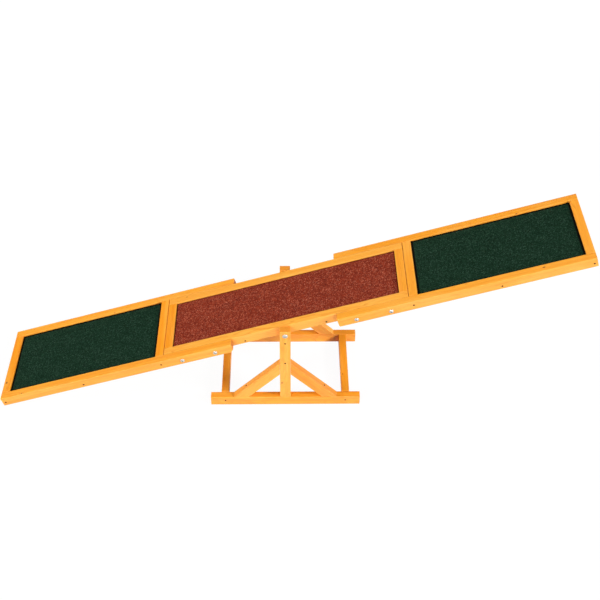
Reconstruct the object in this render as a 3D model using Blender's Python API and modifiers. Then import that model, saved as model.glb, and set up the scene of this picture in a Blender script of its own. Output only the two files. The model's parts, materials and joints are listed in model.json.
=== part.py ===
"""Dog agility seesaw: a low timber base with a braced frame on each side, and a long
board of three bolted panels that tilts between the two posts.

Metres, +Z up. The origin is on the ground, midway between the posts. +X runs along the
board to the end that is up at rest, and +Y runs across it from the front to the back.
The board's pieces are laid out level, about the pivot line, under an empty that tilts
them."""

import math

import bmesh
import bpy
from mathutils import Matrix, Vector

# Whole object
board_length = 1.800
overall_width = 0.300
post_top = 0.300
rest_tilt = math.radians(17.5)

# Fits and edges
touch_gap = 0.0003
timber_edge = 0.0012
sheet_edge = 0.0004

# Base timber
base_length = 0.452
base_depth = 0.023
base_height = 0.032
crossbar_offset = 0.183
post_width = 0.032
brace_width = 0.032
brace_top = 0.172
spreader_thickness = 0.015
spreader_bottom = 0.160
spreader_top = 0.262

# Board timber
rail_width = 0.026
rail_height = 0.030
cross_rail_width = 0.025
batten_width = 0.025
middle_half_length = 0.372
panel_joint = 0.0015
end_rail_inner_stop = 0.160
left_corner_cut = 0.009
right_corner_cut = 0.003
end_batten_offset = 0.634
middle_batten_offset = 0.124
pivot_below_top = 0.017

# Decks and grit sheets
sheet_recess = 0.005
sheet_thickness = 0.0012
deck_thickness = 0.004
groove_depth = 0.005

# Bolts, washers and nuts
panel_bolt_offsets = (0.2145, 0.3163)
shank_radius = 0.003
bore_radius = 0.00325
bolt_tip = 0.003
panel_head_radius = 0.0065
pivot_head_radius = 0.0080
head_height = 0.0036
head_rim = 0.0008
washer_radius = 0.009
nut_across_flats = 0.010
nut_height = 0.005
nut_corner = 0.0005
flange_radius = 0.006
flange_thickness = 0.0012
round_steps = 20
dome_steps = 4

# Worked out from the sizes above
half_length = board_length / 2
half_width = overall_width / 2
rail_top = pivot_below_top
rail_bottom = pivot_below_top - rail_height
rail_middle = (rail_top + rail_bottom) / 2
pivot_height = half_length * math.sin(rest_tilt) - rail_bottom * math.cos(rest_tilt)
post_inner_face = half_width - base_depth
inner_width = half_width - rail_width
middle_outer_face = inner_width - touch_gap
middle_inner_width = inner_width - rail_width
end_panel_start = middle_half_length + panel_joint
deck_top = rail_top - sheet_recess - sheet_thickness
deck_bottom = deck_top - deck_thickness


def collection(name):
    """A new collection in the scene."""
    made = bpy.data.collections.new(name)
    bpy.context.scene.collection.children.link(made)
    return made


def finish(name, colour, roughness, metallic=0.0):
    """A plain material with the given look."""
    made = bpy.data.materials.new(name)
    made.use_nodes = True
    shader = made.node_tree.nodes["Principled BSDF"]
    shader.inputs["Base Color"].default_value = (*colour, 1.0)
    shader.inputs["Roughness"].default_value = roughness
    shader.inputs["Metallic"].default_value = metallic
    made.diffuse_color = (*colour, 1.0)
    return made


def place(name, mesh, group, location=(0, 0, 0), parent=None, rotation=(0, 0, 0)):
    """An object for a mesh, put in its group and under its parent."""
    made = bpy.data.objects.new(name, mesh)
    group.objects.link(made)
    made.location = location
    made.rotation_euler = rotation
    made.parent = parent
    return made


def mesh_of(name, form):
    """A mesh taken from a finished bmesh."""
    bmesh.ops.recalc_face_normals(form, faces=form.faces)
    made = bpy.data.meshes.new(name)
    form.to_mesh(made)
    form.free()
    return made


def block(size):
    """A bmesh block of the given size, centred on its own origin."""
    form = bmesh.new()
    bmesh.ops.create_cube(form, size=1.0)
    bmesh.ops.scale(form, vec=Vector(size), verts=form.verts)
    return form


def trim(form, point, outward):
    """Saws a bmesh off at a plane and closes the sawn face."""
    sawn = bmesh.ops.bisect_plane(
        form,
        geom=form.verts[:] + form.edges[:] + form.faces[:],
        plane_co=Vector(point),
        plane_no=Vector(outward),
        clear_outer=True,
    )
    rim = [item for item in sawn["geom_cut"] if isinstance(item, bmesh.types.BMEdge)]
    bmesh.ops.contextual_create(form, geom=rim)


def ease_edges(part, width):
    """Rounds the sharp edges of a piece."""
    bevel = part.modifiers.new("eased_edges", "BEVEL")
    bevel.width = width
    bevel.segments = 2
    bevel.limit_method = "ANGLE"
    bevel.angle_limit = math.radians(30)


def cut(part, cutter):
    """Takes the cutter's shape out of a piece."""
    boolean = part.modifiers.new(cutter.name, "BOOLEAN")
    boolean.operation = "DIFFERENCE"
    boolean.solver = "EXACT"
    boolean.object = cutter


def cutter_of(name, mesh, location, parent=None):
    """A hidden tool that cuts other pieces."""
    made = place(name, mesh, cutters, location, parent)
    made.hide_render = True
    made.display_type = "WIRE"
    return made


def timber(name, size, location, parent=None):
    """A sawn piece of timber with eased edges."""
    made = place(name, mesh_of(name, block(size)), parts, location, parent)
    made.data.materials.append(wood)
    ease_edges(made, timber_edge)
    return made


def sheet(name, size, location, material, parent):
    """A thin flat piece laid inside a panel."""
    made = place(name, mesh_of(name, block(size)), parts, location, parent)
    made.data.materials.append(material)
    ease_edges(made, sheet_edge)
    return made


def cross_bore(name, location, parent=None):
    """A bolt hole across the object, right through a post and the rails beside it."""
    form = bmesh.new()
    bmesh.ops.create_cone(
        form, cap_ends=True, segments=round_steps, radius1=bore_radius, radius2=bore_radius,
        depth=2 * (half_width - middle_inner_width),
        matrix=Matrix.Rotation(math.radians(90), 4, "X"),
    )
    return cutter_of(name, mesh_of(name, form), location, parent)


def brace_form(side):
    """A diagonal bar at 45 degrees, sawn upright at the post and level at the rail."""
    bar_length = 2 * (brace_top / math.cos(math.radians(45)) + brace_width)
    post_face = side * (post_width / 2 + touch_gap)
    form = block((bar_length, base_depth, brace_width))
    bmesh.ops.translate(form, vec=(0, 0, -brace_width / 2), verts=form.verts)
    bmesh.ops.rotate(
        form, matrix=Matrix.Rotation(side * math.radians(45), 3, "Y"), verts=form.verts
    )
    bmesh.ops.translate(form, vec=(post_face, 0, brace_top), verts=form.verts)
    trim(form, (post_face, 0, 0), (-side, 0, 0))
    trim(form, (0, 0, base_height + touch_gap), (0, 0, -1))
    return form


def build_side_frame(front):
    """One side of the base: a bottom rail, a post standing on it and two braces."""
    side = "front" if front else "back"
    y = (-1 if front else 1) * (half_width - base_depth / 2)
    timber(
        f"{side}_bottom_rail", (base_length, base_depth, base_height), (0, y, base_height / 2)
    )
    post_foot = base_height + touch_gap
    post = timber(
        f"{side}_post", (post_width, base_depth, post_top - post_foot),
        (0, y, (post_top + post_foot) / 2),
    )
    for hand, sign in (("left", -1), ("right", 1)):
        name = f"{side}_{hand}_brace"
        brace = place(name, mesh_of(name, brace_form(sign)), parts, (0, y, 0))
        brace.data.materials.append(wood)
        ease_edges(brace, timber_edge)
    return post


def build_base_links():
    """The pieces that join the two side frames: two crossbars and the spreader."""
    span = 2 * (post_inner_face - touch_gap)
    for hand, sign in (("left", -1), ("right", 1)):
        timber(
            f"{hand}_crossbar", (base_depth, span, base_height),
            (sign * crossbar_offset, 0, base_height / 2),
        )
    timber(
        "post_spreader", (spreader_thickness, span, spreader_top - spreader_bottom),
        (0, 0, (spreader_top + spreader_bottom) / 2),
    )


def long_rail(name, start, stop, y, corner_cut=0.0):
    """A rail along the board, with the lower corner of its inner end sawn off."""
    form = block((stop - start, rail_width - touch_gap, rail_height))
    if corner_cut:
        inner_sign = 1 if abs(stop) < abs(start) else -1
        inner_end = inner_sign * (stop - start) / 2
        trim(
            form, (inner_end, 0, corner_cut - rail_height / 2), (inner_sign, 0, -1)
        )
    made = place(name, mesh_of(name, form), parts, ((start + stop) / 2, y, rail_middle), board)
    made.data.materials.append(wood)
    ease_edges(made, timber_edge)
    return made


def cross_rail(name, x, half_span):
    """A rail across the board between two long rails."""
    size = (cross_rail_width, 2 * (half_span - touch_gap), rail_height)
    return timber(name, size, (x, 0, rail_middle), board)


def batten(name, x, half_span):
    """A bar under the deck, from long rail to long rail."""
    top = deck_bottom - touch_gap
    size = (batten_width, 2 * (half_span - touch_gap), top - rail_bottom)
    return timber(name, size, (x, 0, (top + rail_bottom) / 2), board)


def deck_and_sheet(name, start, stop, half_span, frame, grit):
    """A thin deck let into grooves in its frame, and the grit sheet that lies on it."""
    length = stop - start
    centre = (start + stop) / 2
    seat = 2 * (groove_depth - touch_gap)
    sheet(
        f"{name}_deck", (length + seat, 2 * half_span + seat, deck_thickness),
        (centre, 0, (deck_top + deck_bottom) / 2), plywood, board,
    )
    sheet(
        f"{name}_grit_sheet",
        (length - 2 * touch_gap, 2 * (half_span - touch_gap), sheet_thickness - touch_gap),
        (centre, 0, deck_top + (sheet_thickness + touch_gap) / 2), grit, board,
    )
    groove = (
        length + 2 * groove_depth, 2 * (half_span + groove_depth), deck_thickness + 2 * touch_gap
    )
    cutter = cutter_of(
        f"{name}_groove", mesh_of(f"{name}_groove", block(groove)),
        (centre, 0, (deck_top + deck_bottom) / 2), board,
    )
    for rail in frame:
        cut(rail, cutter)


def build_end_panel(hand, sign, corner_cut):
    """A panel at one end of the board. Its long rails run on beside the middle panel."""
    ends = sorted((sign * end_rail_inner_stop, sign * half_length))
    rail_y = inner_width + rail_width / 2 + touch_gap / 2
    front = long_rail(f"{hand}_front_rail", *ends, -rail_y, corner_cut)
    back = long_rail(f"{hand}_back_rail", *ends, rail_y, corner_cut)
    inner = cross_rail(
        f"{hand}_cross_rail", sign * (end_panel_start + cross_rail_width / 2), inner_width
    )
    outer = cross_rail(
        f"{hand}_end_rail", sign * (half_length - cross_rail_width / 2), inner_width
    )
    batten(f"{hand}_batten", sign * end_batten_offset, inner_width)
    deck_ends = sorted(
        (sign * (end_panel_start + cross_rail_width), sign * (half_length - cross_rail_width))
    )
    deck_and_sheet(
        hand, *deck_ends, inner_width, (front, back, inner, outer), green_grit
    )
    return front, back


def build_middle_panel():
    """The panel that the posts carry, narrower than the end panels by two rails."""
    rail_y = middle_inner_width + rail_width / 2 - touch_gap / 2
    front = long_rail("middle_front_rail", -middle_half_length, middle_half_length, -rail_y)
    back = long_rail("middle_back_rail", -middle_half_length, middle_half_length, rail_y)
    rail_x = middle_half_length - cross_rail_width / 2
    span = middle_inner_width
    left = cross_rail("middle_left_cross_rail", -rail_x, span)
    right = cross_rail("middle_right_cross_rail", rail_x, span)
    batten("middle_left_batten", -middle_batten_offset, span)
    batten("middle_right_batten", middle_batten_offset, span)
    deck_end = middle_half_length - cross_rail_width
    deck_and_sheet("middle", -deck_end, deck_end, span, (front, back, left, right), red_grit)
    return front, back


def bolt_mesh(name, head_radius, grip):
    """A domed bolt turned about Z, with its head up and its grip below Z = 0."""
    cap_height = head_height - head_rim
    cap_sphere = (head_radius ** 2 + cap_height ** 2) / (2 * cap_height)
    cap_angle = math.asin(head_radius / cap_sphere)
    outline = []
    for step in range(dome_steps + 1):
        angle = cap_angle * step / dome_steps
        height = head_height - cap_sphere * (1 - math.cos(angle))
        outline.append((cap_sphere * math.sin(angle), height))
    tip = -grip - touch_gap - nut_height - bolt_tip
    chamfer = shank_radius / 5
    outline += [
        (head_radius, touch_gap),
        (shank_radius, touch_gap),
        (shank_radius, tip + chamfer),
        (shank_radius - chamfer, tip),
        (0.0, tip),
    ]
    return turned_mesh(name, outline)


def turned_mesh(name, outline):
    """A solid turned about Z from an outline of radii and heights, from top to bottom."""
    form = bmesh.new()
    points = [form.verts.new((radius, 0, height)) for radius, height in outline]
    for start, stop in zip(points, points[1:]):
        form.edges.new((start, stop))
    profile = bpy.data.meshes.new(name)
    form.to_mesh(profile)
    form.free()
    pattern = bpy.data.objects.new(name, profile)
    parts.objects.link(pattern)
    screw = pattern.modifiers.new("turn", "SCREW")
    screw.steps = round_steps
    screw.render_steps = round_steps
    screw.use_merge_vertices = True
    screw.merge_threshold = 0.00001
    return finished_mesh(name, pattern)


def finished_mesh(name, pattern):
    """The mesh of a pattern object with its modifiers applied. The pattern is removed."""
    evaluated = pattern.evaluated_get(bpy.context.evaluated_depsgraph_get())
    made = bpy.data.meshes.new_from_object(evaluated)
    made.name = name
    bpy.data.objects.remove(pattern)
    made.shade_smooth()
    made.set_sharp_from_angle(angle=math.radians(35))
    made.materials.clear()
    made.materials.append(zinc)
    return made


def ring_mesh(name, outer, inner, bottom, top):
    """A flat ring about Z."""
    outline = [(inner, top), (outer, top), (outer, bottom), (inner, bottom), (inner, top)]
    return turned_mesh(name, outline)


def nut_mesh():
    """A hexagon nut on a round flange, bored for the bolt. Its flange is up, at Z = 0."""
    form = bmesh.new()
    bmesh.ops.create_cone(
        form, cap_ends=True, segments=6,
        radius1=nut_across_flats / math.sqrt(3), radius2=nut_across_flats / math.sqrt(3),
        depth=nut_height, matrix=Matrix.Translation((0, 0, -nut_height / 2)),
    )
    bottom_edges = [
        edge for edge in form.edges if all(vert.co.z < -0.9 * nut_height for vert in edge.verts)
    ]
    bmesh.ops.bevel(
        form, geom=bottom_edges, offset=nut_corner, segments=1, profile=0.5, affect="EDGES",
        material=-1,
    )
    pattern = place("nut_pattern", mesh_of("nut_pattern", form), parts)
    tools = []
    for name, radius, bottom, top in (
        ("nut_flange", flange_radius, -flange_thickness, 0.0),
        ("nut_bore", bore_radius, -2 * nut_height, nut_height),
    ):
        form = bmesh.new()
        bmesh.ops.create_cone(
            form, cap_ends=True, segments=round_steps, radius1=radius, radius2=radius,
            depth=top - bottom, matrix=Matrix.Translation((0, 0, (top + bottom) / 2)),
        )
        tools.append(cutter_of(name, mesh_of(name, form), (0, 0, 0)))
    flange, bore = tools
    cut(pattern, flange)
    pattern.modifiers[-1].operation = "UNION"
    cut(pattern, bore)
    made = finished_mesh("flanged_nut", pattern)
    for tool in tools:
        bpy.data.objects.remove(tool)
    return made


def bolt_set(name, mesh, nut, x, sign, parent):
    """A bolt through two layers of timber from one side, and the nut on its far end."""
    turn = (-sign * math.radians(90), 0, 0)
    height = 0 if parent else pivot_height
    place(f"{name}_bolt", mesh, parts, (x, sign * half_width, height), parent, turn)
    nut_face = sign * (middle_inner_width - touch_gap)
    place(f"{name}_nut", nut, parts, (x, nut_face, height), parent, turn)


def build_pivots(posts, rails):
    """The bolts on which the board turns, with the washers that hold it off the posts."""
    bolt = bolt_mesh("pivot_bolt", pivot_head_radius, half_width - middle_inner_width)
    washer = ring_mesh(
        "spacer_washer", washer_radius, bore_radius,
        middle_outer_face + touch_gap, post_inner_face - touch_gap,
    )
    for (side, sign), post, rail in zip((("front", -1), ("back", 1)), posts, rails):
        centre = sign * (half_width + middle_inner_width) / 2
        cut(post, cross_bore(f"{side}_post_bore", (0, centre, pivot_height)))
        cut(rail, cross_bore(f"{side}_pivot_bore", (0, centre, 0), board))
        bolt_set(f"{side}_pivot", bolt, flanged_nut, 0, sign, None)
        turn = (-sign * math.radians(90), 0, 0)
        place(f"{side}_pivot_washer", washer, parts, (0, 0, pivot_height), None, turn)


def build_panel_bolts(end_rails, middle_rails):
    """Two bolts at each place where an end panel's rail lies against the middle panel."""
    bolt = bolt_mesh("panel_bolt", panel_head_radius, half_width - middle_inner_width)
    for hand, hand_sign in (("left", -1), ("right", 1)):
        for (side, sign), end_rail, middle_rail in zip(
            (("front", -1), ("back", 1)), end_rails[hand], middle_rails
        ):
            for spot, offset in zip(("inner", "outer"), panel_bolt_offsets):
                name = f"{hand}_{side}_{spot}"
                x = hand_sign * offset
                centre = sign * (half_width + middle_inner_width) / 2
                bore = cross_bore(f"{name}_bore", (x, centre, 0), board)
                cut(end_rail, bore)
                cut(middle_rail, bore)
                bolt_set(name, bolt, flanged_nut, x, sign, board)


for old in list(bpy.data.objects):
    bpy.data.objects.remove(old)

parts = collection("agility_seesaw")
cutters = collection("cutters")

wood = finish("stained_timber", (0.90, 0.42, 0.09), 0.55)
plywood = finish("plywood", (0.62, 0.40, 0.20), 0.65)
green_grit = finish("green_grit", (0.014, 0.045, 0.025), 0.95)
red_grit = finish("red_grit", (0.28, 0.055, 0.035), 0.95)
zinc = finish("zinc_plated_steel", (0.70, 0.70, 0.68), 0.30, 1.0)

board = bpy.data.objects.new("board_on_pivot", None)
parts.objects.link(board)
board.location = (0, 0, pivot_height)
board.rotation_euler = (0, -rest_tilt, 0)

base_posts = [build_side_frame(front=True), build_side_frame(front=False)]
build_base_links()
panel_rails = {
    "left": build_end_panel("left", -1, left_corner_cut),
    "right": build_end_panel("right", 1, right_corner_cut),
}
pivot_rails = build_middle_panel()
flanged_nut = nut_mesh()
build_pivots(base_posts, pivot_rails)
build_panel_bolts(panel_rails, pivot_rails)
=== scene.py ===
"""Looks of a timber dog agility seesaw: honey-stained spruce, mineral grit on the board
and zinc-plated bolts. Metres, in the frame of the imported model, which stays as it is."""

import json
import math
import random

import bmesh
import bpy
from mathutils import Matrix, Vector, noise


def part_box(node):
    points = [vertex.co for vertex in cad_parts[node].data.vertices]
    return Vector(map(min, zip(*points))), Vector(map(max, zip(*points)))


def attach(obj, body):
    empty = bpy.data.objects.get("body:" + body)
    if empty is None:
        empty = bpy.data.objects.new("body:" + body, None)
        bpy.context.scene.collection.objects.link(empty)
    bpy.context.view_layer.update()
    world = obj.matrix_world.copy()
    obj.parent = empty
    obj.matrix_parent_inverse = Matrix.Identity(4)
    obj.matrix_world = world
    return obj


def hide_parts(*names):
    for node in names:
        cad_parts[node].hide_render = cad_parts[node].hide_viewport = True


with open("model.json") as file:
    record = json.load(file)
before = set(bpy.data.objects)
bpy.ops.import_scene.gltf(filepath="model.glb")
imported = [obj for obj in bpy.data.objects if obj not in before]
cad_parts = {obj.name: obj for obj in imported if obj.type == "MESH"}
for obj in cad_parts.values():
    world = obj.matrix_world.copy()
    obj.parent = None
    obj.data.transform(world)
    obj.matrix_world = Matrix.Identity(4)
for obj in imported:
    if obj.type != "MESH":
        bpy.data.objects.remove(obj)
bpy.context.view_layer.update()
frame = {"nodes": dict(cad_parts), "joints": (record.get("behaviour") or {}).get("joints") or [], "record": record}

# The board's own axes at rest: X up along the board, Y across it, Z out of its top
board_tilt = math.radians(17.5)
pivot = Vector(frame["joints"][0]["pos_m"])
quarter_turn = math.radians(90)

# Camera and picture
picture_width = 600
sensor_width = 36.0
focal_pixels = 1123.4
camera_distance = 3.350
camera_target = (0.0448, 0.0, 0.2910)
camera_pitch = math.radians(41.19)
camera_yaw = math.radians(0.90)
camera_roll = math.radians(0.34)

# Lamps: the value each gives on a white face turned to it, where it stands and its size,
# and which of them gloss shows
lamp_distance = 20.0
lamp_aim = Vector((0, 0, 0.25))
lamps = {
    "key_lamp": {"level": 0.43, "azimuth": -35, "elevation": 30, "width": 2.6, "height": 2.6},
    "low_lamp": {"level": 0.31, "azimuth": 25, "elevation": 16, "width": 2.6, "height": 2.6},
    "right_lamp": {"level": 0.78, "azimuth": 64, "elevation": 29, "width": 6.0, "height": 2.6},
    "left_lamp": {"level": 0.76, "azimuth": -80, "elevation": 22, "width": 7.0, "height": 7.0},
    "back_lamp": {"level": 0.35, "azimuth": 165, "elevation": 10, "width": 7.0, "height": 3.0},
    "top_lamp": {"level": 0.23, "azimuth": 180, "elevation": 50, "width": 8.0, "height": 8.0},
}
mirrored_lamps = ("key_lamp", "low_lamp", "right_lamp")

# Sky: the light it gives, how bright gloss shows it overhead, and how high that starts
sky_level = 0.03
sky_top_gloss = 0.06
sky_top_height = 0.30

# Floor: its size and colour, the white it glows with, how much of that shows near the
# object, where it keeps the shadow, and between which distances the rest comes in
floor_half = 12.0
floor_albedo = 0.55
floor_glow = 1.06
floor_glow_share = 0.90
floor_fade = (1.5, 4.0)

# Stained spruce
honey = (0.932, 0.356, 0.009)
deep_honey = (0.875, 0.272, 0.005)
pale_honey = (0.965, 0.495, 0.086)
late_wood = (0.715, 0.182, 0.005)
knot_heart = (0.160, 0.040, 0.005)
knot_rim = (0.520, 0.130, 0.008)
end_stain = (0.720, 0.230, 0.010)
# Painted shade for the ends of some long rails, darker than the end stain
painted_end_shade = (0.420, 0.105, 0.006)
# Painted shade for the gap where two long rails lie side by side
lap_shade = (0.400, 0.090, 0.005)
worn_edge = (0.970, 0.480, 0.090)
timber_gloss = 0.85
ring_spacing = 0.0030
late_starts = (0.35, 0.90)
late_stops = (1.0, 0.93)
weakest_year = 0.35
pith_reach = 0.030
knots_per_metre = 8.0
knot_lean = 0.12
knot_stretch = (0.6, 1.0, 1.0)
least_knots = (0.0008, 0.0016)
largest_knot = 0.0052
end_depth = 0.0008
edge_band = 0.0022
# Width and strength of the painted shade line along the laps
lap_shade_width = 0.0013
lap_shade_strength = 0.42
late_rise = 0.00005
fibre_rise = 0.00010
fleck_depth = 0.00008

# The knots that come with the log, and the one placed on a piece: over what distances the
# heart fades, how wide the rim is, and how far out and how much the rings swell
log_knot = {"fade": (0.0004, -0.0012), "rim": 0.0022, "reach": 0.016, "swell": 0.006}
placed_knot = {"fade": (0.0002, -0.0008), "rim": 0.0014, "reach": 0.012, "swell": 0.005}

# Each bar's draw: how long the log is, how far off the pith lies and how light the bar is
log_length = 40
pith_distances = (0.035, 0.085)
tones = (0.97, 1.03)

# How fine each figure of the wood is, along the grain and both ways across it, per metre
pith_wander = (1.1, 6.0, 6.0)
fibre_figure = (14.0, 1100.0, 1100.0)
streak_figure = (2.2, 110.0, 110.0)
patch_figure = (5.0, 26.0, 26.0)
fleck_figure = (34.0, 620.0, 620.0)
rubbed_figure = 70.0

# Bare plywood
ply_dark = (0.50, 0.29, 0.13)
ply_pale = (0.66, 0.43, 0.22)
ply_line = (0.33, 0.17, 0.07)
ply_waves = (3.0, 38.0, 9.0)
ply_fibres = (18.0, 900.0, 300.0)

# Grit, as dark, common and pale grains and a rare bright chip
green_grains = (
    (0.0025, 0.0120, 0.0060), (0.0093, 0.0325, 0.0168), (0.045, 0.090, 0.062),
    (0.110, 0.160, 0.110),
)
red_grains = (
    (0.095, 0.011, 0.007), (0.283, 0.039, 0.016), (0.620, 0.200, 0.120),
    (0.700, 0.420, 0.300),
)
# Painted shade along each sheet's edge where it meets the frame: colour and width, for green and for red
green_edge_shade = (0.003, 0.003, 0.002)
green_edge_shade_width = 0.0078
red_edge_shade = (0.060, 0.009, 0.004)
red_edge_shade_width = 0.0038
grit_roughness = 0.92
grit_gloss = 0.08
grain_size = 0.0017
grain_rise = 0.00045
clump_size = 0.0032
drift_figure = 60.0
chip_spacing = 0.020
chip_radius = 0.0011

# Grit sheets: their gap to the frame, how far their edges waver and their faces wave, the
# cells of the grid they start from, and how much of the sheet's thickness they take
sheet_gap = 0.0004
sheet_waver = 0.0005
sheet_wave = 0.0002
sheet_cell = 0.004
sheet_share = 0.7
grid_edge = 0.999
waver_figure = 55
waver_shift = 9
wave_figure = 11
wave_shift = 7

# Zinc plating and dark bronze
zinc_dull = (0.56, 0.54, 0.50)
zinc_bright = (0.72, 0.70, 0.64)
zinc_mottle = 420.0
bronze_dark = (0.110, 0.032, 0.008)
bronze_scuffed = (0.250, 0.110, 0.036)
bronze_scuffs = 900.0
bronze_metal = 0.75
bronze_roughness = 0.42

# Bolts and nuts
shank_radius = 0.003
head_height = 0.0036
head_rim = 0.0008
dome_steps = 10
socket_across_flats = 0.004
socket_depth = 0.0024
thread_pitch = 0.001
thread_depth = 0.0003
thread_turns = 9
tip_chamfer = 0.0006
nut_height = 0.005
nut_across_flats = 0.010
nut_chamfer = 0.0007
flange_radius = 0.006
flange_height = 0.0012
flange_edge = 0.0003
bore_radius = 0.00325
turn_steps = 48

# Screw heads
screw_radius = 0.0027
screw_dome = 0.0006
screw_sink = 0.0006
screw_taper = 0.9
screw_dome_steps = 8
screw_turn_steps = 32
screw_spin = 40
recess_reach = 0.0015
recess_half_width = 0.0004
recess_depth = 0.0008

# How far a head stands off the timber, and how near points of a form are merged
seat_gap = 0.0002
same_place = 0.000001

# Screws on the board, along it from the pivot and above the pivot line: into each end
# panel's end rail, batten and cross rail, and into the middle panel's battens
end_panel_screws = ((0.890, -0.0005), (0.634, -0.0035), (0.3825, 0.0030))
middle_panel_screw = (0.1236, -0.0050)

# Screws on the base: the heights of the two in a post, into the spreader, and then the
# distance from the post and the height of one in a bottom rail and one in a brace's edge
spreader_screws = (0.2535, 0.174)
crossbar_screw = (0.182, 0.018)
brace_screw = (0.118, 0.0703)


class Recipe:
    """Adds nodes to one material or node group."""

    def __init__(self, tree):
        self.tree = tree

    def feed(self, node, values):
        """Gives each named input of a node its value, or a link to it."""
        for name, value in values.items():
            if isinstance(value, bpy.types.NodeSocket):
                self.tree.links.new(value, node.inputs[name])
            else:
                node.inputs[name].default_value = value

    def node(self, kind, values=None, **settings):
        """A new node with its settings and what it is fed."""
        made = self.tree.nodes.new("ShaderNode" + kind)
        for name, value in settings.items():
            setattr(made, name, value)
        self.feed(made, values or {})
        return made

    def calc(self, operation, *terms):
        """The result of a sum on numbers."""
        return self.node("Math", dict(enumerate(terms)), operation=operation).outputs[0]

    def vector(self, operation, *terms):
        """The result of a sum on vectors."""
        made = self.node("VectorMath", dict(enumerate(terms)), operation=operation)
        return made.outputs["Value" if operation == "LENGTH" else "Vector"]

    def ramp(self, value, start, stop, low=0.0, high=1.0):
        """Goes smoothly from low to high as the value goes from start to stop."""
        terms = {
            "Value": value, "From Min": start, "From Max": stop, "To Min": low, "To Max": high,
        }
        made = self.node("MapRange", terms, interpolation_type="SMOOTHSTEP")
        return made.outputs["Result"]

    def cloud(self, place, scale=1.0, detail=2.0):
        """Soft noise from 0 to 1, about 0.5 on average."""
        terms = {"Vector": place, "Scale": scale, "Detail": detail}
        return self.node("TexNoise", terms).outputs["Fac"]

    def figure(self, place, fineness, detail=2.0):
        """Soft noise with its own fineness along each axis."""
        return self.cloud(self.vector("MULTIPLY", place, fineness), detail=detail)

    def blend(self, amount, first, second):
        """A colour between two others, which are the node's inputs 6 and 7."""
        made = self.node("Mix", {0: amount}, data_type="RGBA")
        for index, colour in ((6, first), (7, second)):
            if not isinstance(colour, bpy.types.NodeSocket):
                colour = (*colour, 1.0)
            self.feed(made, {index: colour})
        return made.outputs[2]

    def coats(self, colour, layers):
        """A colour under coats of others, each with where it lies and how strong it is."""
        for where, strength, coat in layers:
            colour = self.blend(self.calc("MULTIPLY", where, strength), colour, coat)
        return colour

    def parts(self, vector):
        """The three numbers of a vector."""
        made = self.node("SeparateXYZ", {0: vector})
        return made.outputs[0], made.outputs[1], made.outputs[2]

    def joined(self, x, y, z):
        """A vector of three numbers."""
        return self.node("CombineXYZ", {0: x, 1: y, 2: z}).outputs[0]


def group(name, inputs, outputs):
    """A new node group's recipe, what the group is given, and the node for its results."""
    tree = bpy.data.node_groups.new(name, "ShaderNodeTree")
    for label, kind in inputs:
        tree.interface.new_socket(label, in_out="INPUT", socket_type="NodeSocket" + kind)
    for label, kind in outputs:
        tree.interface.new_socket(label, in_out="OUTPUT", socket_type="NodeSocket" + kind)
    given = tree.nodes.new("NodeGroupInput")
    results = tree.nodes.new("NodeGroupOutput")
    return Recipe(tree), given.outputs, results


def edge_distance(recipe, place, half):
    """How far a point on a bar's surface is from the bar's nearest edge, and from its end."""
    inset = recipe.vector("SUBTRACT", half, recipe.vector("ABSOLUTE", place))
    x, y, z = recipe.parts(inset)
    nearer = recipe.calc("MINIMUM", x, y)
    farther = recipe.calc("MAXIMUM", x, y)
    edge = recipe.calc("MAXIMUM", nearer, recipe.calc("MINIMUM", farther, z))
    return edge, x


def knot_marks(recipe, outside, fade, rim, reach, swell):
    """A knot's heart, its rim and how far it swells the rings, from how far outside the
    knot a point lies."""
    return (
        recipe.ramp(outside, *fade),
        recipe.ramp(outside, rim, 0.0),
        recipe.ramp(outside, reach, 0.0, 0.0, swell),
    )


def knots(recipe, given, spot):
    """The heart and the rim of the knots, and how far the rings swell round them."""
    along, side, rise = recipe.parts(spot)
    through = recipe.joined(along, side, recipe.calc("MULTIPLY", rise, knot_lean))
    cells = recipe.node("TexVoronoi", {"Vector": through, "Scale": knots_per_metre}).outputs
    radius = recipe.ramp(recipe.parts(cells["Color"])[0], 0.55, 1.0, 0.0, largest_knot)
    present = recipe.ramp(radius, *least_knots)
    distance = recipe.calc("DIVIDE", cells["Distance"], knots_per_metre)
    in_log = knot_marks(recipe, recipe.calc("SUBTRACT", distance, radius), **log_knot)

    # The placed knot is drawn out a little along the grain
    to_knot = recipe.vector("SUBTRACT", given["Place"], given["Knot"])
    distance = recipe.vector("LENGTH", recipe.vector("MULTIPLY", to_knot, knot_stretch))
    outside = recipe.calc("SUBTRACT", distance, given["Knot size"])
    placed = knot_marks(recipe, outside, **placed_knot)
    return [
        recipe.calc("MAXIMUM", recipe.calc("MULTIPLY", mark, present), placed_mark)
        for mark, placed_mark in zip(in_log, placed)
    ]


def late_rings(recipe, spot, swell):
    """The late wood of growth rings round a pith that wanders a little along the log."""
    wander = recipe.node(
        "TexNoise", {"Vector": recipe.vector("MULTIPLY", spot, pith_wander), "Detail": 3.0}
    )
    either_way = recipe.vector("SUBTRACT", wander.outputs["Color"], (0.5, 0.5, 0.5))
    bend = recipe.vector("MULTIPLY", either_way, (0.0, pith_reach, pith_reach))
    from_pith = recipe.vector("MULTIPLY", recipe.vector("ADD", spot, bend), (0.0, 1.0, 1.0))
    radius = recipe.calc("ADD", recipe.vector("LENGTH", from_pith), swell)
    ring = recipe.calc("DIVIDE", radius, ring_spacing)
    phase = recipe.calc("FRACT", ring)
    late = recipe.calc(
        "MULTIPLY", recipe.ramp(phase, *late_starts), recipe.ramp(phase, *late_stops)
    )
    year = recipe.node("TexWhiteNoise", {"W": recipe.calc("FLOOR", ring)}, noise_dimensions="1D")
    strength = recipe.ramp(year.outputs["Value"], 0.0, 1.0, low=weakest_year)
    return recipe.calc("MULTIPLY", late, strength)


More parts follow.
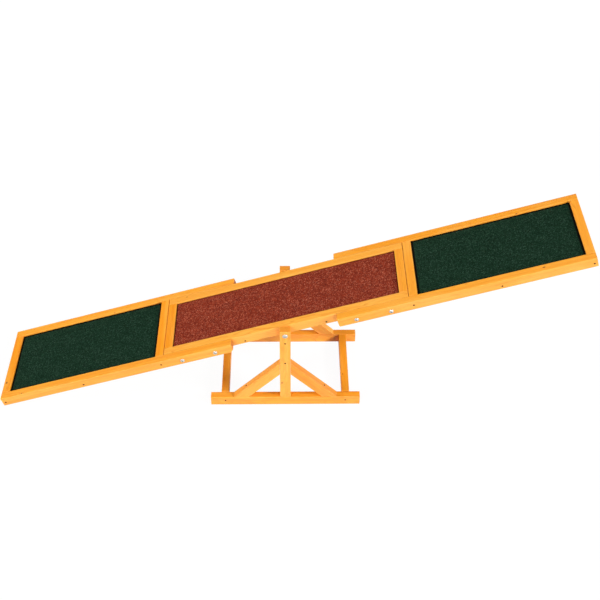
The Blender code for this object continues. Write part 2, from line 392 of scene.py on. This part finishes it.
def uneven_stain(recipe, given, spot):
    """The stain as streaks and patches of the wood took it up."""
    streak = recipe.figure(spot, streak_figure)
    patch = recipe.figure(spot, patch_figure)
    light_patch = recipe.calc("MULTIPLY", recipe.ramp(patch, 0.46, 0.74), 0.35)
    light_streak = recipe.calc("MULTIPLY", recipe.ramp(streak, 0.55, 0.80), 0.40)
    light = recipe.calc("ADD", recipe.calc("ADD", light_patch, light_streak), given["Pale"])
    colour = recipe.blend(recipe.ramp(streak, 0.28, 0.62), deep_honey, honey)
    colour = recipe.blend(light, colour, pale_honey)
    return recipe.blend(given["Deep"], colour, late_wood)


def spruce_group():
    """Stained spruce cut from a log. Place is a point in the piece's own axes, with X along
    the grain, Half is half the piece's size, and Log is where the piece lay in its log."""
    recipe, given, results = group(
        "stained_spruce",
        (
            ("Place", "Vector"), ("Half", "Vector"), ("Log", "Vector"), ("Tone", "Float"),
            ("Pale", "Float"), ("Deep", "Float"), ("End shade", "Float"), ("Knot", "Vector"),
            ("Knot size", "Float"),
        ),
        (("Colour", "Color"), ("Roughness", "Float"), ("Height", "Float")),
    )
    spot = recipe.vector("ADD", given["Place"], given["Log"])
    heart, rim, swell = knots(recipe, given, spot)
    late = late_rings(recipe, spot, swell)
    fibre = recipe.figure(spot, fibre_figure, detail=3.0)
    fleck = recipe.ramp(recipe.figure(spot, fleck_figure, detail=1.0), 0.70, 0.82)
    edge, from_end = edge_distance(recipe, given["Place"], given["Half"])
    at_end = recipe.ramp(from_end, end_depth, 0.3 * end_depth)
    rubbed = recipe.calc(
        "MULTIPLY", recipe.ramp(edge, edge_band, 0.2 * edge_band),
        recipe.ramp(recipe.cloud(spot, scale=rubbed_figure), 0.42, 0.62),
    )

    colour = recipe.coats(uneven_stain(recipe, given, spot), (
        (late, 0.50, late_wood),
        (recipe.ramp(fibre, 0.35, 0.75), 0.16, late_wood),
        (fleck, 0.35, late_wood),
        (rim, 0.75, knot_rim),
        (heart, 0.85, knot_heart),
        (at_end, 0.70, end_stain),
        # Painted shade on the ends of the rails that are given it
        (at_end, given["End shade"], painted_end_shade),
        (rubbed, 0.45, worn_edge),
    ))
    toned = recipe.node("HueSaturation", {"Value": given["Tone"], "Color": colour})
    roughness = recipe.calc(
        "ADD", recipe.ramp(fibre, 0.3, 0.8, 0.46, 0.60), recipe.calc("MULTIPLY", at_end, 0.18)
    )
    raised = recipe.calc(
        "ADD", recipe.calc("MULTIPLY", late, late_rise), recipe.calc("MULTIPLY", fibre, fibre_rise)
    )
    height = recipe.calc("SUBTRACT", raised, recipe.calc("MULTIPLY", fleck, fleck_depth))
    recipe.feed(
        results, {"Colour": toned.outputs["Color"], "Roughness": roughness, "Height": height}
    )
    return recipe.tree


def grit_group(name, grains, shade_colour, shade_width):
    """Mineral grains bonded to felt, with painted shade in a dark band along the edge where the sheet meets the
    frame. Place and Half are as for spruce."""
    dark, common, pale, bright = grains
    recipe, given, results = group(
        name,
        (("Place", "Vector"), ("Half", "Vector")),
        (("Colour", "Color"), ("Height", "Float")),
    )
    place = given["Place"]
    grain = recipe.node("TexVoronoi", {"Vector": place, "Scale": 1 / grain_size}).outputs
    grain_draw = recipe.parts(grain["Color"])[0]
    clump = recipe.node("TexVoronoi", {"Vector": place, "Scale": 1 / clump_size}).outputs
    clump_draw = recipe.parts(clump["Color"])[1]
    drift = recipe.cloud(place, scale=drift_figure, detail=3.0)
    edge, _ = edge_distance(recipe, place, given["Half"])

    # A chip of another stone, here and there
    chip = recipe.node("TexVoronoi", {"Vector": place, "Scale": 1 / chip_spacing}).outputs
    chip_reach = recipe.calc("MULTIPLY", chip["Distance"], chip_spacing)
    rare = recipe.ramp(recipe.parts(chip["Color"])[2], 0.90, 0.92)
    on_chip = recipe.calc("MULTIPLY", rare, recipe.ramp(chip_reach, chip_radius, 0.5 * chip_radius))

    colour = recipe.coats(common, (
        (recipe.ramp(grain_draw, 0.36, 0.16), 1.0, dark),
        (recipe.ramp(grain_draw, 0.86, 0.95), 0.72, pale),
        (recipe.ramp(clump_draw, 0.44, 0.16), 0.56, dark),
        (recipe.ramp(clump_draw, 0.84, 1.0), 0.24, pale),
        (recipe.ramp(drift, 0.55, 0.30), 0.16, dark),
        (on_chip, 0.8, bright),
        # Painted shade along the sheet's edge
        (recipe.ramp(edge, shade_width, 0.7 * shade_width), 1.0, shade_colour),
    ))
    domed = recipe.ramp(grain["Distance"], 0.75, 0.1)
    recipe.feed(results, {"Colour": colour, "Height": recipe.calc("MULTIPLY", domed, grain_rise)})
    return recipe.tree


def new_material(name):
    """An empty material, its recipe and its shader."""
    made = bpy.data.materials.new(name)
    made.use_nodes = True
    return made, Recipe(made.node_tree), made.node_tree.nodes["Principled BSDF"]


def own_place(recipe, centre, turn):
    """A point of a piece in the piece's own axes, from where the piece lies at rest."""
    seen = recipe.node("TexCoord").outputs["Object"]
    terms = {"Vector": seen, "Location": centre, "Rotation": turn.to_euler()}
    return recipe.node("Mapping", terms, vector_type="TEXTURE").outputs[0]


def raise_surface(recipe, shader, height):
    """Bumps a surface by a height in metres."""
    bump = recipe.node("Bump", {"Height": height, "Distance": 1.0, "Strength": 1.0})
    recipe.feed(shader, {"Normal": bump.outputs[0]})


def spruce_finish(name, centre, half, turn, own_values):
    """Stained spruce for one piece of timber."""
    made, recipe, shader = new_material(name)
    values = {"Place": own_place(recipe, centre, turn), "Half": half, **own_values}
    wood = recipe.node("Group", values, node_tree=spruce).outputs
    recipe.feed(shader, {
        "Base Color": wood["Colour"], "Roughness": wood["Roughness"],
        "Specular IOR Level": timber_gloss,
    })
    raise_surface(recipe, shader, wood["Height"])
    return made


def own_box(node, turn):
    """Centre and half size of a node along the axes of its own turn."""
    places = [turn.transposed() @ point.co for point in frame["nodes"][node].data.vertices]
    low = Vector(min(place[axis] for place in places) for axis in range(3))
    high = Vector(max(place[axis] for place in places) for axis in range(3))
    return turn @ ((low + high) / 2), (high - low) / 2


def dress(node, material):
    """Gives every slot of a node one material."""
    for slot in frame["nodes"][node].material_slots:
        slot.material = material


# How each bar lies: X runs along its grain
along_board = Matrix.Rotation(-board_tilt, 3, "Y")
across_board = along_board @ Matrix.Rotation(quarter_turn, 3, "Z")
along_base = Matrix.Identity(3)
across_base = Matrix.Rotation(quarter_turn, 3, "Z")
upright = Matrix.Rotation(-quarter_turn, 3, "Y")
rising_brace = Matrix.Rotation(-quarter_turn / 2, 3, "Y")
falling_brace = Matrix.Rotation(quarter_turn / 2, 3, "Y")


def on_board(along, across, rise):
    """A point of the board, from the pivot line, at rest."""
    return pivot + along_board @ Vector((along, across, rise))


def board_corners(node):
    """A node's low and high corners along the board's own axes, from the pivot."""
    centre, half = own_box(node, along_board)
    middle = along_board.transposed() @ (centre - pivot)
    return middle - half, middle + half


# Faces of the timber, from the middle plane or, along the board, from the pivot. The end
# panels' long rails lie outside the middle panel's, from where theirs start to its end.
end_rail_low, end_rail_high = board_corners("right_front_rail")
middle_rail_low, middle_rail_high = board_corners("middle_front_rail")
brace_low, brace_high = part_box("front_left_brace")
rail_top = end_rail_high.z
outer_face = -end_rail_low.y
middle_face = -(end_rail_high.y + middle_rail_low.y) / 2
lap_start = end_rail_low.x
lap_end = middle_rail_high.x
brace_middle = -(brace_low.y + brace_high.y) / 2

# Pieces cut from paler timber, by how much of the pale stain they show, and deeper ones. The back right brace's
# paleness is partly painted light, making up for the board's shadow on it
pale_tone_and_painted_light = {
    "front_post": 0.30, "back_post": 0.30, "middle_front_rail": 0.48, "middle_back_rail": 0.46,
    "left_front_rail": 0.20, "right_front_rail": 0.20, "left_back_rail": 0.24,
    "right_back_rail": 0.10, "front_left_brace": 0.32, "front_bottom_rail": 0.04,
    "back_bottom_rail": 0.16, "right_cross_rail": 0.20, "middle_right_cross_rail": 0.20,
    "right_end_rail": 0.20, "back_right_brace": 0.30,
}
deeper_pieces = {"front_right_brace": 0.32, "left_crossbar": 0.05}

# Long rails whose ends are darkened beyond the end stain as painted shade, for end faces turned from the light, by
# how much, and all that lie lapped, which get a painted shade line along the lap
painted_end_shade_pieces = {
    "left_back_rail": 0.90, "right_back_rail": 0.50, "left_front_rail": 0.60,
    "right_front_rail": 0.30,
}
lapped_rails = (
    "left_front_rail", "left_back_rail", "middle_front_rail", "middle_back_rail",
    "right_front_rail", "right_back_rail",
)

# The knots that show most, each a point and a radius, and one outside every piece
far_knot = (Vector((9, 9, 9)), 0.0)
seen_knots = {
    "left_front_rail": (on_board(-0.829, -0.1463, rail_top), 0.0014),
    "left_end_rail": (on_board(-0.8915, -0.0830, rail_top), 0.0024),
    "left_back_rail": (on_board(-0.5577, 0.1245, rail_top), 0.0012),
    "right_front_rail": (on_board(0.7557, -0.1361, rail_top), 0.0020),
    "right_back_rail": (on_board(0.7196, 0.1250, rail_top), 0.0014),
    "middle_back_rail": (on_board(-0.3139, 0.1149, rail_top), 0.0013),
    "front_post": (Vector((-0.0100, -0.1500, 0.0925)), 0.0018),
    "right_crossbar": (Vector((0.1775, -0.0530, 0.0320)), 0.0013),
}


def timber_turns():
    """Each timber node with the way it lies."""
    turns = {
        "front_bottom_rail": along_base, "back_bottom_rail": along_base,
        "left_crossbar": across_base, "right_crossbar": across_base,
        "front_post": upright, "back_post": upright, "post_spreader": across_base,
        "front_left_brace": rising_brace, "back_left_brace": rising_brace,
        "front_right_brace": falling_brace, "back_right_brace": falling_brace,
        "middle_front_rail": along_board, "middle_back_rail": along_board,
        "middle_left_cross_rail": across_board, "middle_right_cross_rail": across_board,
        "middle_left_batten": across_board, "middle_right_batten": across_board,
    }
    for hand in ("left", "right"):
        turns[f"{hand}_front_rail"] = along_board
        turns[f"{hand}_back_rail"] = along_board
        turns[f"{hand}_end_rail"] = across_board
        turns[f"{hand}_cross_rail"] = across_board
        turns[f"{hand}_batten"] = across_board
    return turns


def paint_lap_shade(finish):
    """Adds a painted shade line where two long rails lie side by side, standing in for the shadow in the gap
    between them.
    """
    recipe = Recipe(finish.node_tree)
    shader = finish.node_tree.nodes["Principled BSDF"]
    along, across, _ = recipe.parts(own_place(recipe, pivot, along_board))
    past_joint = recipe.calc("SUBTRACT", recipe.calc("ABSOLUTE", across), middle_face)
    from_joint = recipe.calc("ABSOLUTE", past_joint)
    reach = recipe.calc("ABSOLUTE", along)
    in_lap = recipe.calc(
        "MULTIPLY", recipe.ramp(reach, lap_start - lap_shade_width, lap_start),
        recipe.ramp(reach, lap_end, lap_end - lap_shade_width),
    )
    # Painted shade along the lap joint
    line = recipe.calc("MULTIPLY", recipe.ramp(from_joint, lap_shade_width, 0.3 * lap_shade_width), in_lap)
    bare = shader.inputs["Base Color"].links[0].from_socket
    recipe.feed(shader, {"Base Color": recipe.coats(bare, ((line, lap_shade_strength, lap_shade),))})


def stain_timber():
    """Stains every bar, each cut from its own place in a log."""
    draw = random.Random(11)
    for node, turn in timber_turns().items():
        centre, half = own_box(node, turn)
        pith_way = draw.uniform(0, 2 * math.pi)
        pith_distance = draw.uniform(*pith_distances)
        log_place = (
            draw.uniform(0, log_length),
            pith_distance * math.cos(pith_way),
            pith_distance * math.sin(pith_way),
        )
        knot, knot_size = seen_knots.get(node, far_knot)
        own_values = {
            "Log": log_place, "Tone": draw.uniform(*tones),
            "Pale": pale_tone_and_painted_light.get(node, 0.0), "Deep": deeper_pieces.get(node, 0.0),
            "End shade": painted_end_shade_pieces.get(node, 0.0),
            "Knot": turn.transposed() @ (knot - centre), "Knot size": knot_size,
        }
        finish = spruce_finish(f"spruce_{node}", centre, half, turn, own_values)
        if node in lapped_rails:
            paint_lap_shade(finish)
        dress(node, finish)


def plywood_finish():
    """Bare softwood plywood, seen from below and in the gaps round the grit."""
    made, recipe, shader = new_material("bare_plywood")
    place = own_place(recipe, Vector((0, 0, 0)), along_board)
    waves = recipe.figure(place, ply_waves, detail=4.0)
    fibre = recipe.figure(place, ply_fibres)
    colour = recipe.blend(recipe.ramp(waves, 0.35, 0.68), ply_dark, ply_pale)
    recipe.feed(shader, {
        "Base Color": recipe.coats(colour, ((recipe.ramp(fibre, 0.45, 0.8), 0.35, ply_line),)),
        "Roughness": recipe.ramp(fibre, 0.3, 0.8, 0.62, 0.78),
    })
    raise_surface(recipe, shader, recipe.calc("MULTIPLY", fibre, fibre_rise))
    return made


def grit_finish(name, recipe_group, centre, half):
    """Grit for one sheet."""
    made, recipe, shader = new_material(name)
    values = {"Place": own_place(recipe, centre, along_board), "Half": half}
    grit = recipe.node("Group", values, node_tree=recipe_group).outputs
    recipe.feed(shader, {
        "Base Color": grit["Colour"], "Roughness": grit_roughness,
        "Specular IOR Level": grit_gloss,
    })
    raise_surface(recipe, shader, grit["Height"])
    return made


def zinc_finish():
    """Bright zinc plating with a faint mottle."""
    made, recipe, shader = new_material("zinc_plating")
    place = recipe.node("TexCoord").outputs["Object"]
    mottle = recipe.cloud(place, scale=zinc_mottle, detail=3.0)
    recipe.feed(shader, {
        "Base Color": recipe.blend(recipe.ramp(mottle, 0.35, 0.7), zinc_dull, zinc_bright),
        "Roughness": recipe.ramp(mottle, 0.3, 0.7, 0.44, 0.32),
        "Metallic": 1.0,
    })
    return made


def bronze_finish():
    """Dark bronze screws, scuffed by the driver."""
    made, recipe, shader = new_material("bronzed_screw")
    place = recipe.node("TexCoord").outputs["Object"]
    scuff = recipe.ramp(recipe.cloud(place, scale=bronze_scuffs), 0.55, 0.75)
    recipe.feed(shader, {
        "Base Color": recipe.blend(scuff, bronze_dark, bronze_scuffed),
        "Roughness": bronze_roughness,
        "Metallic": bronze_metal,
    })
    return made


def add_piece(name, form, material, body, smooth_below=35):
    """A finished piece from a bmesh, riding on its body."""
    bmesh.ops.remove_doubles(form, verts=form.verts, dist=same_place)
    bmesh.ops.recalc_face_normals(form, faces=form.faces)
    mesh = bpy.data.meshes.new(name)
    form.to_mesh(mesh)
    form.free()
    mesh.materials.append(material)
    mesh.shade_smooth()
    mesh.set_sharp_from_angle(angle=math.radians(smooth_below))
    made = bpy.data.objects.new(name, mesh)
    bpy.context.scene.collection.objects.link(made)
    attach(made, body)
    return made


def lay_grit(node, name, material_group):
    """A grit sheet cut a little small, with a wavering edge and a slight wave. It starts as
    a grid from -1 to 1 both ways."""
    centre, half = own_box(node, along_board)
    made = bmesh.new()
    bmesh.ops.create_grid(
        made, x_segments=round(2 * half.x / sheet_cell), y_segments=round(2 * half.y / sheet_cell),
        size=1.0,
    )
    for point in made.verts:
        on_end = abs(point.co.x) > grid_edge
        on_side = abs(point.co.y) > grid_edge
        flat = Vector((point.co.x * (half.x - sheet_gap), point.co.y * (half.y - sheet_gap), 0))
        waver = sheet_waver * noise.noise(flat * waver_figure + centre * waver_shift)
        if on_end:
            flat.x += math.copysign(waver, flat.x)
        if on_side:
            flat.y += math.copysign(waver, flat.y)
        flat.z = half.z + sheet_wave * noise.noise(flat * wave_figure + centre * wave_shift)
        point.co = centre + along_board @ flat
    bmesh.ops.solidify(made, geom=made.faces, thickness=sheet_share * 2 * half.z)
    finish = grit_finish(f"{name}_finish", material_group, centre, half)
    piece = add_piece(name, made, finish, "board")
    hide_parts(node)


def turned(outline, steps=turn_steps):
    """A bmesh turned about Z from an outline of radii and heights."""
    form = bmesh.new()
    points = [form.verts.new((radius, 0, height)) for radius, height in outline]
    edges = [form.edges.new(pair) for pair in zip(points, points[1:])]
    bmesh.ops.spin(
        form, geom=points + edges, cent=(0, 0, 0), axis=(0, 0, 1), dvec=(0, 0, 0),
        angle=2 * math.pi, steps=steps, use_merge=True,
    )
    bmesh.ops.remove_doubles(form, verts=form.verts, dist=same_place)
    return form


def bolt_outline(head_radius, length):
    """A domed bolt with its head above Z = 0, a socket in it and thread on its last part."""
    cap_height = head_height - head_rim
    sphere = (head_radius ** 2 + cap_height ** 2) / (2 * cap_height)
    cap_angle = math.asin(head_radius / sphere)
    socket_angle = math.asin(socket_across_flats / 2 / sphere)
    floor_height = head_height - socket_depth
    dome = [(0.0, floor_height), (socket_across_flats / 2, floor_height)]
    for step in range(dome_steps + 1):
        angle = socket_angle + (cap_angle - socket_angle) * step / dome_steps
        dome.append((sphere * math.sin(angle), head_height - sphere * (1 - math.cos(angle))))
    underside = [(head_radius, seat_gap), (shank_radius, seat_gap)]
    bottom = -length
    thread = []
    for turn in range(thread_turns):
        top = bottom + tip_chamfer + thread_pitch * (thread_turns - turn)
        thread.append((shank_radius, top))
        thread.append((shank_radius - thread_depth, top - thread_pitch / 2))
    tip = [(shank_radius - tip_chamfer, bottom), (0.0, bottom)]
    return dome + underside + thread + tip


def bolt_form(head_radius, length):
    """A domed bolt with a hexagon socket."""
    form = turned(bolt_outline(head_radius, length))
    flat = socket_across_flats / 2
    for point in form.verts:
        reach = math.hypot(point.co.x, point.co.y)
        if point.co.z > seat_gap and abs(reach - flat) < 10 * same_place:
            angle = math.atan2(point.co.y, point.co.x) % (math.pi / 3) - math.pi / 6
            point.co.x /= math.cos(angle)
            point.co.y /= math.cos(angle)
    return form


def nut_form():
    """A flanged hexagon nut with its flange at Z = 0 and its body below."""
    form = bmesh.new()
    corner = nut_across_flats / math.sqrt(3)
    bmesh.ops.create_cone(
        form, cap_ends=True, segments=6, radius1=corner, radius2=corner,
        depth=nut_height - seat_gap, matrix=Matrix.Translation((0, 0, -nut_height / 2)),
    )
    low_edges = [
        edge for edge in form.edges if all(end.co.z < -0.9 * nut_height for end in edge.verts)
    ]
    bmesh.ops.bevel(
        form, geom=low_edges, offset=nut_chamfer, segments=3, profile=0.5, affect="EDGES",
        material=-1,
    )
    seat = -seat_gap / 2
    collar = -1.5 * flange_height
    flange = turned([
        (bore_radius, seat), (flange_radius - flange_edge, seat),
        (flange_radius, seat - flange_edge), (flange_radius, -0.8 * flange_height),
        (nut_across_flats / 2, collar), (bore_radius, collar), (bore_radius, seat),
    ])
    add_form(form, flange)
    return form


def add_form(whole, form):
    """Adds one bmesh to another and lets it go."""
    spare = bpy.data.meshes.new("spare")
    form.to_mesh(spare)
    form.free()
    whole.from_mesh(spare)
    bpy.data.meshes.remove(spare)


def set_on_side(form, node, sign, reach):
    """Turns a form's Z to the front or back of the object and puts it on a node's axis, as
    far from the middle plane as the reach says."""
    low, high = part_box(node)
    centre = (low + high) / 2
    turn = Matrix.Rotation(-sign * quarter_turn, 4, "X")
    move = Matrix.Translation((centre.x, sign * reach, centre.z))
    bmesh.ops.transform(form, matrix=move @ turn, verts=form.verts)


def fit_bolts(material):
    """Finer bolts and nuts in place of the model's."""
    for body, members in frame["record"]["behaviour"]["bodies"].items():
        for node in members:
            sign = -1 if "front" in node else 1
            low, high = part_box(node)
            if node.endswith("_bolt"):
                form = bolt_form((high.x - low.x) / 2, high.y - low.y - head_height)
                set_on_side(form, node, sign, outer_face)
            elif node.endswith("_nut"):
                form = nut_form()
                set_on_side(form, node, sign, min(abs(low.y), abs(high.y)) + nut_height)
            else:
                continue
            piece = add_piece(f"plated_{node}", form, material, body)
            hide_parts(node)


def screw_head():
    """A raised screw head on Z = 0, with a cross pressed into it."""
    outline = []
    for step in range(screw_dome_steps + 1):
        share = step / screw_dome_steps
        outline.append((screw_radius * share, screw_dome * (1 - share ** 2) + seat_gap))
    outline.append((screw_radius * screw_taper, -screw_sink))
    outline.append((0.0, -screw_sink))
    form = turned(outline, steps=screw_turn_steps)
    for point in form.verts:
        if point.co.z < 0:
            continue
        across = min(abs(point.co.x), abs(point.co.y))
        reach = max(abs(point.co.x), abs(point.co.y))
        if across < recess_half_width and reach < recess_reach:
            point.co.z -= recess_depth * (1 - 0.5 * reach / recess_reach)
    return form


def drive_screws(name, body, places, material):
    """Screw heads at places, each a point and the way the head faces. Each is turned about
    its own axis by an angle that comes from its place."""
    every = bmesh.new()
    for point, facing in places:
        head = screw_head()
        spin = Matrix.Rotation(sum(point) * screw_spin, 4, "Z")
        turn = Vector(facing).to_track_quat("Z", "Y").to_matrix().to_4x4()
        bmesh.ops.transform(
            head, matrix=Matrix.Translation(point) @ turn @ spin, verts=head.verts
        )
        add_form(every, head)
    add_piece(name, every, material, body, smooth_below=50)


def screw_board(side, sign, material):
    """The screws in the board's long rails, on the front or the back."""
    facing = (0, sign, 0)
    places = []
    for hand in (-1, 1):
        for along, rise in end_panel_screws:
            places.append((on_board(hand * along, sign * outer_face, rise), facing))
        along, rise = middle_panel_screw
        places.append((on_board(hand * along, sign * middle_face, rise), facing))
    drive_screws(f"{side}_board_screws", "board", places, material)


def screw_base(side, sign, material):
    """The screws in a post, a bottom rail and its braces, on the front or the back."""
    facing = (0, sign, 0)
    face = sign * outer_face
    places = [(Vector((0, face, height)), facing) for height in spreader_screws]
    for hand in (-1, 1):
        reach, height = crossbar_screw
        places.append((Vector((hand * reach, face, height)), facing))
        reach, height = brace_screw
        upwards = (hand * math.sqrt(0.5), 0, math.sqrt(0.5))
        places.append((Vector((hand * reach, sign * brace_middle, height)), upwards))
    drive_screws(f"{side}_base_screws", "base", places, material)


def seen_directly(recipe):
    """1 for rays that show the background itself or its reflection, and else 0."""
    path = recipe.node("LightPath").outputs
    shown = recipe.calc("MAXIMUM", path["Is Camera Ray"], path["Is Glossy Ray"])
    return recipe.calc("MAXIMUM", shown, path["Is Transmission Ray"])


def add_floor():
    """A pale floor that shows white, and keeps the object's shadow faint near it."""
    form = bmesh.new()
    bmesh.ops.create_grid(form, x_segments=1, y_segments=1, size=floor_half)
    mesh = bpy.data.meshes.new("studio_floor")
    form.to_mesh(mesh)
    form.free()
    floor = bpy.data.objects.new("studio_floor", mesh)
    bpy.context.scene.collection.objects.link(floor)
    made, recipe, shader = new_material("pale_floor")
    recipe.feed(shader, {
        "Base Color": (floor_albedo, floor_albedo, floor_albedo, 1.0),
        "Roughness": 0.9,
        "Specular IOR Level": 0.1,
    })
    glow = recipe.node("Emission", {"Strength": floor_glow})
    away = recipe.vector("LENGTH", recipe.node("TexCoord").outputs["Object"])
    share = recipe.ramp(away, *floor_fade, floor_glow_share, 1.0)
    share = recipe.calc("MULTIPLY", seen_directly(recipe), share)
    mixed = recipe.node("MixShader", {0: share, 1: shader.outputs[0], 2: glow.outputs[0]})
    recipe.feed(made.node_tree.nodes["Material Output"], {"Surface": mixed.outputs[0]})
    mesh.materials.append(made)


def add_sky():
    """Even soft light all round, white behind the object and darker overhead in gloss."""
    world = bpy.data.worlds.new("studio")
    bpy.context.scene.world = world
    world.use_nodes = True
    recipe = Recipe(world.node_tree)
    path = recipe.node("LightPath").outputs
    height = recipe.parts(recipe.node("TexCoord").outputs["Generated"])[2]
    gloss = recipe.ramp(height, 0.0, sky_top_height, 1.0, sky_top_gloss)
    mirrored = recipe.calc("MULTIPLY", path["Is Glossy Ray"], gloss)
    white = recipe.calc("MAXIMUM", path["Is Camera Ray"], path["Is Transmission Ray"])
    soft = recipe.calc("MULTIPLY", recipe.calc("SUBTRACT", 1.0, seen_directly(recipe)), sky_level)
    strength = recipe.calc("MAXIMUM", recipe.calc("MAXIMUM", mirrored, white), soft)
    background = world.node_tree.nodes["Background"]
    recipe.feed(background, {"Color": (1.0, 1.0, 1.0, 1.0), "Strength": strength})


def add_lamp(name, level, azimuth, elevation, width, height):
    """A soft lamp that looks at the object. Azimuth 0 is on the camera's side."""
    swing = math.radians(azimuth)
    lift = math.radians(elevation)
    way = Vector((
        math.sin(swing) * math.cos(lift), -math.cos(swing) * math.cos(lift), math.sin(lift)
    ))
    light = bpy.data.lights.new(name, "AREA")
    light.shape = "RECTANGLE"
    light.size = width
    light.size_y = height
    light.energy = level * math.pi ** 2 * lamp_distance ** 2
    lamp = bpy.data.objects.new(name, light)
    bpy.context.scene.collection.objects.link(lamp)
    lamp.location = lamp_aim + way * lamp_distance
    lamp.rotation_euler = (-way).to_track_quat("-Z", "Y").to_euler()
    lamp.visible_glossy = name in mirrored_lamps


def add_camera():
    """The photograph's view: from the front and well above."""
    camera = bpy.data.cameras.new("camera")
    camera.sensor_width = sensor_width
    camera.lens = focal_pixels * sensor_width / picture_width
    camera.clip_start = 0.05
    camera.clip_end = 60.0
    made = bpy.data.objects.new("camera", camera)
    bpy.context.scene.collection.objects.link(made)
    turn = (
        Matrix.Rotation(-camera_yaw, 4, "Z")
        @ Matrix.Rotation(quarter_turn - camera_pitch, 4, "X")
        @ Matrix.Rotation(camera_roll, 4, "Z")
    )
    back = turn @ Vector((0, 0, camera_distance))
    made.matrix_world = Matrix.Translation(Vector(camera_target) + back) @ turn
    bpy.context.scene.camera = made


spruce = spruce_group()
green_grit = grit_group("green_grit", green_grains, green_edge_shade, green_edge_shade_width)
red_grit = grit_group("red_grit", red_grains, red_edge_shade, red_edge_shade_width)
zinc = zinc_finish()
bronze = bronze_finish()
plywood = plywood_finish()

stain_timber()
for deck in ("left_deck", "middle_deck", "right_deck"):
    dress(deck, plywood)
for washer in ("front_pivot_washer", "back_pivot_washer"):
    dress(washer, zinc)
for hand in ("left", "right"):
    lay_grit(f"{hand}_grit_sheet", f"{hand}_grit", green_grit)
lay_grit("middle_grit_sheet", "middle_grit", red_grit)
fit_bolts(zinc)
for screw_side, screw_sign in (("front", -1), ("back", 1)):
    screw_board(screw_side, screw_sign, bronze)
    screw_base(screw_side, screw_sign, bronze)

add_floor()
add_sky()
for lamp_name, lamp_values in lamps.items():
    add_lamp(lamp_name, **lamp_values)
add_camera()
bpy.context.scene.view_settings.view_transform = "Standard"
